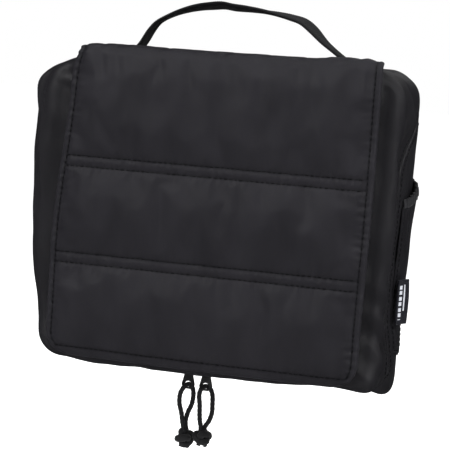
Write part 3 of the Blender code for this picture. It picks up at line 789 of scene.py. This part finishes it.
def draw_in(obj, lines):
    """Pulls the cloth in along its stitched lines, puckers it beside them and marks the needle line, which the
    fabric darkens as painted shade of the groove.
    """
    co = coords(obj)
    normals = read_points(obj.data.vertices, "normal")
    nearest = np.full(len(co), 1.0)
    along = np.zeros(len(co))
    for line in lines:
        line = resample(line, 0.0012)
        axis = 0 if np.ptp(line[:, 0]) > np.ptp(line[:, 2]) else 2
        for part in np.array_split(np.arange(len(co)), 12):
            away = np.linalg.norm(co[part][:, None] - line[None], axis=2).min(1)
            closer = away < nearest[part]
            nearest[part[closer]] = away[closer]
            along[part[closer]] = co[part[closer], axis]
    wave = np.sin(along / 0.0052 * TAU + 3 * noisy(co, 60, 4.0)) * (0.6 + 0.4 * noisy(co, 45, 8.0))
    move = -0.00055 * bell(nearest, 0, 0.0009) + 0.00045 * wave * bell(nearest, 0.0022, 0.0030)
    front = normals[:, 1] < 0.3
    set_coords(obj, co + normals * (move * front)[:, None])
    # This mark darkens the fabric's colour along the needle line: painted shade in the stitched groove.
    mark(obj, "sewn", bell(nearest, 0, 0.0011) * front)


def make_flap():
    """The quilted flap and its stitching. Returns the grid of its outer cloth."""
    s, sewn, roof, arc = flap_path()
    u = flap_columns()
    rows, cols = len(s), len(u)
    outer, inner, pins = [], [], {}
    marks = sorted(sewn)
    band = {i for a, b in zip(marks, marks[1:]) if s[b] - s[a] < 0.009 for i in range(a, b + 1)}
    for i, si in enumerate(s):
        for j, uj in enumerate(u):
            seam = i in sewn or abs(abs(uj) * FLAP_HALF - (FLAP_HALF - EDGE_STITCH)) < 1e-6
            out, lining = flap_points(si, uj, s[-1] - si, roof, arc, seam)
            rim = i in (0, rows - 1) or j in (0, cols - 1)
            held = seam or rim or i in band
            pins[len(outer)] = 1.0 if held else 0.75 * smooth((si < roof) * (roof - si) / 0.012)
            outer.append(out)
            inner.append(lining)
    n = rows * cols
    pins = {k: w for k, w in pins.items() if w > 0}
    pins.update({n + k: 1.0 for k in range(n)})
    points = np.array([tuple(p) for p in outer + inner])
    points[:n] += flap_slack(points[:n])
    faces = grid_faces(rows, cols, flip=True) + grid_faces(rows, cols, start=n)
    index = [0] * (len(faces) // 2) + [1] * (len(faces) // 2)
    border = list(range(cols)) + [i * cols + cols - 1 for i in range(1, rows)]
    border += [(rows - 1) * cols + j for j in range(cols - 2, -1, -1)]
    border += [i * cols for i in range(rows - 2, 0, -1)]
    faces += [(a, b, b + n, a + n) for a, b in zip(border, border[1:] + border[:1])]
    index += [0] * len(border)
    flap = make("cover_flap", points, faces, [FLAP, LINING], index)
    inflate(flap, pins, pressure=3.0, grow=0.009, cap=0.0030)
    grid = coords(flap)[:n].reshape(rows, cols, 3)
    near_side = np.clip(1 - (FLAP_HALF - np.abs(u) * FLAP_HALF) / 0.0035, 0, 1)
    near_end = np.clip(1 - (s[-1] - s) / 0.0035, 0, 1)
    wear = np.maximum(near_end[:, None], near_side[None, :]).ravel()
    mark(flap, "wear", np.concatenate([wear, np.zeros(n)]))
    refine(flap)
    bake(flap)
    lines = [grid[i, 2:-2] for i in marks[1:-1]] + [grid[3:marks[-2] + 1, j] for j in (2, -3)]
    draw_in(flap, lines)
    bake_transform(flap)
    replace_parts(flap, "flap_top_pad", "flap_top_lining", "flap_front_pad",
                "flap_front_lining", "flap_binding")
    thread = stitches("flap_stitching", lines, surface_of(flap))
    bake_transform(thread)
    return grid


def make_flap_seam(grid):
    """The strip that joins the flap's rear edge to the case's roof."""
    edge = grid[0, 1:-1]
    x = edge[:, 0]
    rows = [soften(np.stack([x, np.full(len(x), FLAP_REAR + back), np.full(len(x), TOP + up)], 1))
            for back, up in ((0.0070, 0.0003), (0.0045, 0.0008), (0.0022, 0.0014))]
    rows += [edge + (0, 0.0006, -0.0012), grid[1, 1:-1] + (0, 0, -0.0016), grid[3, 1:-1] + (0, 0, -0.0022)]
    strip = make("flap_seam_strip", np.vstack(rows), grid_faces(len(rows), len(x), flip=True), FLAP)
    refine(strip)
    thicken(strip, 0.0008, 0)
    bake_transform(strip)


make_flap_seam(make_flap())

# ---------------------------------------------------------------- handle
HANDLE_PATH = ((-.0880, -.0331), (-.0825, -.0329), (-.0768, -.0316), (-.0722, -.0272), (-.0664, -.0174),
               (-.0608, -.0112), (-.0515, -.0062), (-.0420, -.0026), (-.0332, -.0003), (-.0248, .0010),
               (-.0164, .0019), (-.0086, .0010), (.0010, .0006), (.0120, -.0002), (.0233, -.0017),
               (.0318, -.0034), (.0395, -.0056), (.0465, -.0105), (.0550, -.0180), (.0628, -.0236),
               (.0708, -.0290), (.0765, -.0319), (.0820, -.0329), (.0880, -.0331))
HANDLE_HALF, HANDLE_THICK, HANDLE_STEP = 0.009, 0.00125, 0.00033
BOX_INNER, BOX_OUTER, BOX_HALF, BOX_Z = 0.0785, 0.0866, 0.0072, -0.0310      # the stitched box at each end
RIB = 0.0013


def strap_section(count):
    """Places round a flat strap: across from -1 to 1, and its upper or lower face."""
    return [(b, 1) for b in np.linspace(-1, 1, count)] + [(b, -1) for b in np.linspace(1, -1, count)]


def make_handle():
    path = resample(curve_through([(x, 0, z) for x, z in HANDLE_PATH], 12), HANDLE_STEP)
    run = np.arange(len(path)) * HANDLE_STEP
    tangent = unit(np.gradient(path, axis=0))
    up = np.stack([-tangent[:, 2], np.zeros(len(path)), tangent[:, 0]], 1)
    total = run[-1]
    free = smooth((run - 0.022) / 0.03) * smooth((total - 0.022 - run) / 0.03)
    twist = np.radians(11) * free * np.sin(run / total * TAU * 1.6 + 0.4)
    section = strap_section(9)
    points = []
    for i, q in enumerate(path):
        side = np.array([0, 1.0, 0]) * math.cos(twist[i]) + up[i] * math.sin(twist[i])
        top = np.cross(side, tangent[i])
        rib = 0.00013 * math.sin(run[i] / RIB * TAU)
        for b, h in section:
            thick = HANDLE_THICK * (0.35 if abs(b) == 1 else 1.0) + rib * (0.5 if abs(b) == 1 else 1)
            bow = -0.0009 * free[i] * b * b
            points.append(q + side * b * (HANDLE_HALF + 0.6 * rib) + top * (h * thick + bow))
    faces = grid_faces(len(path), len(section), wrap=True) + end_caps(len(path), len(section))
    handle = make("handle_webbing", points, faces, WEBBING)
    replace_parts(handle, "carry_handle", "handle_anchor_left", "handle_anchor_right")
    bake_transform(handle)
    lines = []
    for way in (-1, 1):
        a, b, w, z = way * BOX_INNER, way * BOX_OUTER, BOX_HALF, BOX_Z
        lines += crossed_box([(a, -w, z), (b, -w, z), (b, w, z), (a, w, z)])
    thread = stitches("handle_stitching", lines, surface_of(handle), length=0.0019, gap=0.0008)
    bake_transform(thread)


make_handle()

# ---------------------------------------------------------------- the zip round three sides
TOOTH_PITCH, TOOTH_RADIUS = 0.0015, 0.00042
# Across the tape, from its sewn edge to the teeth: distance from the zip's middle, and depth under the skin.
TAPE_ROWS = ((0.0085, 0.0038), (0.0050, 0.0030), (0.0026, 0.0017), (0.0014, 0.0010), (0.0005, 0.0010))


def zip_line(count=900):
    """Points, outward normals and rearward directions along the zip, from its left end to its right end."""
    p, n = outline(count)
    keep = p[:, 1] < HINGE_Z - 0.0035
    first = next(i for i in range(count) if keep[i] and not keep[i - 1])
    order = [(first + k) % count for k in range(count) if keep[(first + k) % count]]
    p, n = p[order], n[order]
    points, out = at_depth(p, zip_y(p[:, 1])), at_depth(n, 0.0)
    rear = np.cross(unit(np.gradient(points, axis=0)), out)
    return points, out, rear * np.sign(rear[:, 1])[:, None]


def tuck(q, out, deep):
    """Zip points laid on the rounded case, deep under its skin, and stopped short of its back."""
    q = q.copy()
    q[:, 1] = np.minimum(q[:, 1], BACK_Y - 0.0035)
    return q - out * (deep + round_off(q[:, 1]))[:, None]


def make_zip(half, way):
    """One half of the zip: its tape and its teeth."""
    points, out, rear = zip_line()
    run = run_along(points)
    rows = [tuck(points + rear * way * away, out, deep) for away, deep in TAPE_ROWS]
    faces = grid_faces(len(rows), len(points), flip=way > 0)
    tape = make(f"zip_tape_{half}", soften(np.vstack(rows)), faces, TAPE)
    thicken(tape, 0.0006, 0)
    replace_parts(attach(tape, f"{half}_case"), f"{half}_zip_tape")
    parts = []
    for k in range(int(run[-1] / TOOTH_PITCH)):
        at = (k + (0.25 if way < 0 else 0.75)) * TOOTH_PITCH
        q, o, r = (read_at(run, v, at) for v in (points, out, rear))
        root, tip = q + r * way * 0.0017, q - r * way * 0.0006
        a, b = soften(tuck(np.array([root, tip]), o, np.array([0.0006, 0.0003])))
        parts.append(capsule(a, b, TOOTH_RADIUS, o))
    teeth = make(f"zip_teeth_{half}", *join(parts), COIL)
    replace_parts(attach(teeth, f"{half}_case"), f"{half}_zip_chain")


def make_topstitch(half, way, case):
    """The row of stitches beside the zip that holds its tape to the case."""
    points, out, rear = zip_line(500)
    line = soften(tuck(points + rear * way * 0.0052, out, -0.001))
    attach(stitches(f"zip_stitching_{half}", [line], surface_of(case)), f"{half}_case")


make_zip("front", -1)
make_zip("rear", 1)
make_topstitch("front", -1, front_shell)
make_topstitch("rear", 1, back_shell)


# ---------------------------------------------------------------- pockets, elastics and label
def patch(name, rows, cols, where, materials, thickness, offset=-1.0, fine=True, flip=False, index=None):
    """A sheet whose points come from where(across 0..1, up 0..1)."""
    u, v = np.meshgrid(np.linspace(0, 1, cols), np.linspace(0, 1, rows))
    chosen = None
    if index is not None:
        cu = (np.arange(cols - 1) + 0.5) / (cols - 1)
        cv = (np.arange(rows - 1) + 0.5) / (rows - 1)
        chosen = [int(index(a, b)) for b in cv for a in cu]
    obj = make(name, where(u.ravel(), v.ravel()), grid_faces(rows, cols, flip=flip), materials, chosen)
    if fine:
        refine(obj)
    return thicken(obj, thickness, offset)


def side_point(way, y, z, out):
    """A point on the case's side, moved out from the fabric."""
    co = np.stack([way * (HALF_WIDTH - round_off(y)), y, z], 1)
    co[:, 0] += way * out
    return soften(co)


POCKET_FRONT, POCKET_REAR, POCKET_LOW, POCKET_HIGH = -0.0150, 0.0125, -0.220, -0.1175
POCKET_SLANT = {-1: 0.009, 1: 0.0125}
POCKET_FULL = {-1: (0.0050, 0.0052), 1: (0.0022, 0.0012)}       # how far it stands out, and its mouth more


def pocket_out(way, u, v):
    arch = np.clip(1 - np.abs(2 * u - 1) ** 2.6, 0, 1)
    full, mouth = POCKET_FULL[way]
    deep = 0.0008 + full * smooth(v * 1.5)
    deep = deep + mouth * smooth((v - 0.45) / 0.55)
    gather = 0.00055 * np.sin(u * TAU * 7 + 1.3) * smooth((v - 0.72) / 0.25)
    sag = 0.0009 * np.sin(v * 9 + u * 4 + way) * arch
    return 0.0007 + (deep + sag) * arch + gather * np.minimum(1, 6 * arch)


def make_side_pocket(name, way):
    """A flat pocket sewn on three sides, with its mouth gathered by a band."""
    def depth_and_droop(u):
        return POCKET_FRONT + (POCKET_REAR - POCKET_FRONT) * u, 0.0022 * (1 - np.abs(2 * u - 1) ** 2)

    def where(u, v):
        y, droop = depth_and_droop(u)
        mouth = POCKET_HIGH - 0.004 + POCKET_SLANT[way] * u
        z = POCKET_LOW + (mouth - POCKET_LOW) * v - droop * smooth((v - 0.6) / 0.4)
        return side_point(way, y, z, pocket_out(way, u, v))

    def band(u, v):
        y, droop = depth_and_droop(u)
        z = POCKET_HIGH + POCKET_SLANT[way] * u - 0.0058 + 0.0060 * v - droop
        out = pocket_out(way, u, np.ones_like(u)) + 0.0007 + 0.0003 * np.sin(v * math.pi)
        return side_point(way, y, z, out + 0.00022 * np.sin(u * TAU * 21) - 0.0006 * v)

    pocket = patch(f"side_pocket_cloth_{name}", 40, 34, where, [SHELL, LINING], 0.0008, flip=way < 0)
    elastic = patch(f"side_pocket_band_{name}", 5, 110, band, ELASTIC, 0.0016, flip=way < 0)
    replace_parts(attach(pocket, "rear_case"), f"side_pocket_{name}")
    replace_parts(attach(elastic, "rear_case"), f"side_pocket_elastic_{name}")
    t = np.linspace(0.02, 0.97, 60)
    inset = 0.0016 / (POCKET_REAR - POCKET_FRONT)
    lines = [where(np.full(60, inset), t), where(np.full(60, 1 - inset), t),
             where(np.linspace(inset, 1 - inset, 30), np.full(30, 0.018))]
    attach(stitches(f"side_pocket_stitching_{name}", lines, surface_of(pocket)), "rear_case")


make_side_pocket("left", -1)
make_side_pocket("right", 1)

LABEL_Z, LABEL_TALL = -0.2005, 0.0300
LABEL_Y, LABEL_DEEP = -0.0164, 0.0080


def make_label():
    """A folded woven tab in the pocket's front seam, with plain pale bars on it."""
    def where(u, v):
        fold = np.clip(np.where(u < 0.5, 2 * u, 2 - 2 * u), 0, 1)
        lift = 0.0020 + 0.0062 * fold ** 1.2 + 0.0010 * np.sin(v * 3.2) * fold
        lift += np.where(u < 0.5, 0.00045, -0.00045) * np.sin(fold * math.pi / 2 + 0.3)
        lift += 0.0022 * (1 - fold)
        return side_point(1, LABEL_Y + LABEL_DEEP * fold, LABEL_Z + LABEL_TALL * v, lift)

    def bars(u, v):
        dashed = 0.08 < u < 0.20 and 0.10 < v < 0.90 and v * 8 % 1 > 0.3
        return dashed or (0.26 < u < 0.31 and 0.30 < v < 0.88)

    label = patch("side_label_tab", 61, 61, where, [LABEL, PALE], 0.00035, 0, fine=False, index=bars)
    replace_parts(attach(label, "rear_case"), "side_label")


make_label()

INNER_HALF, INNER_LOW, PLEATS = 0.093, -0.228, 15


def make_inner_pocket(half, wall, way, high, deep):
    """An inner pocket on a wall of the case, with pleats drawn into the elastic at its mouth."""
    def out(u, v):
        arch = np.clip(1 - np.abs(2 * u - 1) ** 6, 0, 1) * smooth(v * 2.2)
        pleat = np.sin(u * TAU * PLEATS + 2 * np.sin(u * 9)) * (0.25 + 0.75 * v)
        return 0.0006 + deep * arch * (0.72 + 0.28 * v) + 0.0008 * pleat * arch

    def where(u, v):
        z = INNER_LOW + (high - INNER_LOW) * v
        return np.stack([INNER_HALF * (2 * u - 1), wall + way * out(u, v), z], 1)

    def band(u, v):
        y = wall + way * (out(u, np.ones_like(u)) + 0.0006 + 0.0002 * np.sin(u * TAU * 60))
        return np.stack([INNER_HALF * (2 * u - 1), y, high - 0.004 + 0.0085 * v], 1)

    pocket = patch(f"{half}_pocket_cloth", 30, 181, where, LINING, 0.0006, 0, flip=way < 0)
    strip = patch(f"{half}_pocket_band", 4, 361, band, ELASTIC, 0.0014, 0, fine=False, flip=way < 0)
    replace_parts(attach(pocket, f"{half}_case"), f"{half}_inner_pocket")
    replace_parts(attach(strip, f"{half}_case"), f"{half}_pocket_elastic")


make_inner_pocket("front", FRONT_Y + 0.0040, 1, -0.1135, 0.0060)
make_inner_pocket("rear", BACK_Y - 0.0045, -1, -0.1435, 0.0062)

LOOPS, LOOPS_HALF, LOOP_FLAT, LOOP_RISE = 3, 0.095, 0.008, 0.014
LOOP_LOW, LOOP_TALL, LOOP_ROWS = -0.118, 0.022, 5


def make_bottle_loops():
    """One ribbed elastic band, sewn down between its loops."""
    span = (2 * LOOPS_HALF - (LOOPS + 1) * LOOP_FLAT) / LOOPS
    line = [(-LOOPS_HALF, 0)]
    for i in range(LOOPS):
        left = -LOOPS_HALF + LOOP_FLAT + i * (span + LOOP_FLAT)
        line += [(left + span * k / 16, LOOP_RISE * math.sin(math.pi * k / 16)) for k in range(17)]
    line.append((LOOPS_HALF, 0))
    line = resample([(x, BACK_Y - 0.0051 - rise, 0) for x, rise in line], 0.0006)
    ribs = 0.00012 * np.sin(np.arange(len(line)) / 4 * TAU)
    rows = [line + np.stack([0 * ribs, -ribs, 0 * ribs + LOOP_LOW + LOOP_TALL * k / LOOP_ROWS], 1)
            for k in range(LOOP_ROWS + 1)]
    band = make("bottle_loop_elastic", np.vstack(rows), grid_faces(len(rows), len(line)), ELASTIC)
    thicken(band, 0.0012)
    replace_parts(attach(band, "rear_case"), "bottle_loop_band")
    lines = []
    for i in range(LOOPS + 1):
        x = -LOOPS_HALF + LOOP_FLAT / 2 + i * (span + LOOP_FLAT)
        lines += [[(x + d, BACK_Y - 0.008, z) for z in (-0.117, -0.097)] for d in (-0.002, 0.002)]
    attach(stitches("bottle_loop_stitching", lines, surface_of(band)), "rear_case")


make_bottle_loops()

FASTENER_HALF, FASTENER_LOW, FASTENER_TALL = 0.030, -0.222, 0.020


def edge_distance(u, v, wide, tall):
    """How far a place on a rectangle is from its nearest edge."""
    return np.minimum(np.minimum(u, 1 - u) * wide, np.minimum(v, 1 - v) * tall)


def make_fastener(name, y, way, body):
    """A strip of hook-and-loop tape: a rounded strip with a rough pile."""
    def where(u, v):
        corner = np.clip(edge_distance(u, v, 2 * FASTENER_HALF, FASTENER_TALL) / 0.0008, 0, 1)
        rough = np.array([noise.noise(Vector((a * 900, b * 300, way))) for a, b in zip(u, v)])
        return np.stack([FASTENER_HALF * (2 * u - 1), y + way * (0.0004 + 0.00032 * rough) * corner,
                         FASTENER_LOW + FASTENER_TALL * v], 1)

    strip = patch(name, 41, 121, where, PILE, 0.0006, fine=False, flip=way > 0)
    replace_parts(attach(strip, body), f"{name}_strip")


make_fastener("case_fastener", FRONT_Y - 0.0010, -1, "front_case")
make_fastener("flap_fastener", FRONT_Y - 0.0024, 1, "flap_front")

# ---------------------------------------------------------------- hook and its strap on the back
STRAP_STEP, STRAP_RIB = 0.0004, 0.00009
BAR_TACKS = (-0.0795, -0.0812, -0.0829)
ANCHOR_WIDE, ANCHOR_TALL = 0.028, 0.016


def make_hook_strap():
    """The endless loop of webbing that the hook hangs in."""
    low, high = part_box("hook_strap")
    middle, r = (low.y + high.y) / 2, (high.y - low.y) / 2 - 0.0006
    path = [(middle + r * math.cos(a), centre + r * math.sin(a))
            for centre, start in ((high.z - r, 0), (low.z + r, math.pi))
            for a in np.linspace(start, start + math.pi, 13)]
    path = resample([(0, y, z) for y, z in path + path[:1]], STRAP_STEP)[:-1]
    n = len(path)
    tangent = unit(np.roll(path, -1, 0) - np.roll(path, 1, 0))
    out = np.stack([np.zeros(n), tangent[:, 2], -tangent[:, 1]], 1)
    section = strap_section(7)
    points = []
    for i, q in enumerate(path):
        rib = STRAP_RIB * math.sin(i * STRAP_STEP / RIB * TAU)
        for b, h in section:
            thick = 0.0006 * (0.4 if abs(b) == 1 else 1) + rib
            points.append(q + np.array([high.x * b, 0, 0]) + out[i] * h * thick)
    sides = len(section)
    faces = grid_faces(n, sides, wrap=True)
    last = (n - 1) * sides
    faces += [(last + c, last + (c + 1) % sides, (c + 1) % sides, c) for c in range(sides)]
    strap = make("hook_strap_webbing", points, faces, STRAP_WEB)
    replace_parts(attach(strap, "hook"), "hook_strap")
    bar = [[(x, high.y + 0.001, z) for x in (-0.0085, 0.0085)] for z in BAR_TACKS]
    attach(stitches("hook_strap_stitching", bar, surface_of(strap), length=0.0016, gap=0.0006), "hook")


def make_hook_anchor():
    """The patch that holds the strap to the back."""
    low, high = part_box("hook_anchor_patch")

    def where(u, v):
        edge = np.clip(edge_distance(u, v, ANCHOR_WIDE, ANCHOR_TALL) / 0.0012, 0, 1)
        rib = STRAP_RIB * np.sin(v * ANCHOR_TALL / RIB * TAU)
        return np.stack([low.x + (high.x - low.x) * u, low.y + 0.0003 + (0.0008 + rib) * edge,
                         low.z + (high.z - low.z) * v], 1)

    pad = patch("hook_anchor_webbing", 49, 30, where, STRAP_WEB, 0.0012, fine=False, flip=True)
    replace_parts(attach(pad, "rear_case"), "hook_anchor_patch")
    a, b, c, d = low.x + 0.0015, high.x - 0.0015, low.z + 0.0014, high.z - 0.0014
    lines = crossed_box([(x, high.y + 0.001, z) for x, z in ((a, c), (b, c), (b, d), (a, d))])
    thread = stitches("hook_anchor_stitching", lines, surface_of(pad), length=0.0018, gap=0.0007)
    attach(thread, "rear_case")


make_hook_strap()
make_hook_anchor()


# ---------------------------------------------------------------- the CAD's own hard pieces
def finish_node(name, material, width, segments=2):
    """Gives a CAD piece its material and rounded edges."""
    node = NODES[name]
    node.data.materials.clear()
    node.data.materials.append(material)
    node.data.polygons.foreach_set("use_smooth", [True] * len(node.data.polygons))
    weld = node.modifiers.new("weld", "WELD")
    weld.merge_threshold = 0.00001
    bevel = node.modifiers.new("edges", "BEVEL")
    bevel.width, bevel.segments, bevel.limit_method = width, segments, "ANGLE"
    bevel.angle_limit = math.radians(35)
    bevel.harden_normals = False
    normal = node.modifiers.new("normals", "WEIGHTED_NORMAL")
    normal.keep_sharp = True


finish_node("hanging_hook", PLASTIC, 0.0009, 3)
for side in ("left", "right"):
    finish_node(f"zip_slider_{side}", METAL, 0.0004)
    finish_node(f"pull_tab_{side}", METAL, 0.0003)

# ---------------------------------------------------------------- stage and light
FLOOR_RADIUS, FLOOR_Z = 12, -0.40
LIGHT_AIM = (0, -0.02, -0.14)


def make_stage():
    corners = [(FLOOR_RADIUS * math.cos(TAU * k / 64), FLOOR_RADIUS * math.sin(TAU * k / 64), FLOOR_Z)
               for k in range(64)]
    f = Finish("pale_floor")
    f.feed(f.shader, {"Base Color": (0.90, 0.90, 0.90, 1), "Roughness": 0.95, "Specular IOR Level": 0.1,
                      "Emission Color": (1, 1, 1, 1), "Emission Strength": 0.75})
    floor = make("pale_floor", corners, [tuple(range(64))], f.material)
    floor.visible_glossy = False


def lamp(name, place, size, power):
    light = bpy.data.lights.new(name, "AREA")
    light.shape = "RECTANGLE"
    light.size, light.size_y = size
    light.energy = power
    obj = bpy.data.objects.new(name, light)
    bpy.context.scene.collection.objects.link(obj)
    obj.location = place
    obj.rotation_mode = "QUATERNION"
    obj.rotation_quaternion = (Vector(LIGHT_AIM) - Vector(place)).to_track_quat("-Z", "Y")


def make_light():
    """A pale studio that is dimmer overhead, and three soft lamps."""
    world = bpy.data.worlds.new("studio")
    bpy.context.scene.world = world
    world.use_nodes = True
    nodes, links = world.node_tree.nodes, world.node_tree.links
    background = nodes["Background"]
    split = nodes.new("ShaderNodeSeparateXYZ")
    links.new(nodes.new("ShaderNodeTexCoord").outputs["Generated"], split.inputs[0])
    fade = nodes.new("ShaderNodeMapRange")
    fade.interpolation_type = "SMOOTHSTEP"
    fade.inputs["From Min"].default_value, fade.inputs["From Max"].default_value = 0.10, 0.42
    fade.inputs["To Min"].default_value, fade.inputs["To Max"].default_value = 1.0, 0.30
    links.new(split.outputs[2], fade.inputs[0])
    links.new(fade.outputs[0], background.inputs["Strength"])
    background.inputs["Color"].default_value = (1, 1, 1, 1)
    world.cycles_visibility.glossy = False
    lamp("key", (-0.6, -1.0, 1.1), (0.8, 0.8), 27)
    lamp("fill", (1.1, -0.5, 0.9), (0.6, 0.6), 19)
    lamp("rim", (0.3, 1.0, 0.9), (0.9, 0.6), 2.5)
    bpy.context.scene.view_settings.view_transform = "Standard"


make_stage()
make_light()
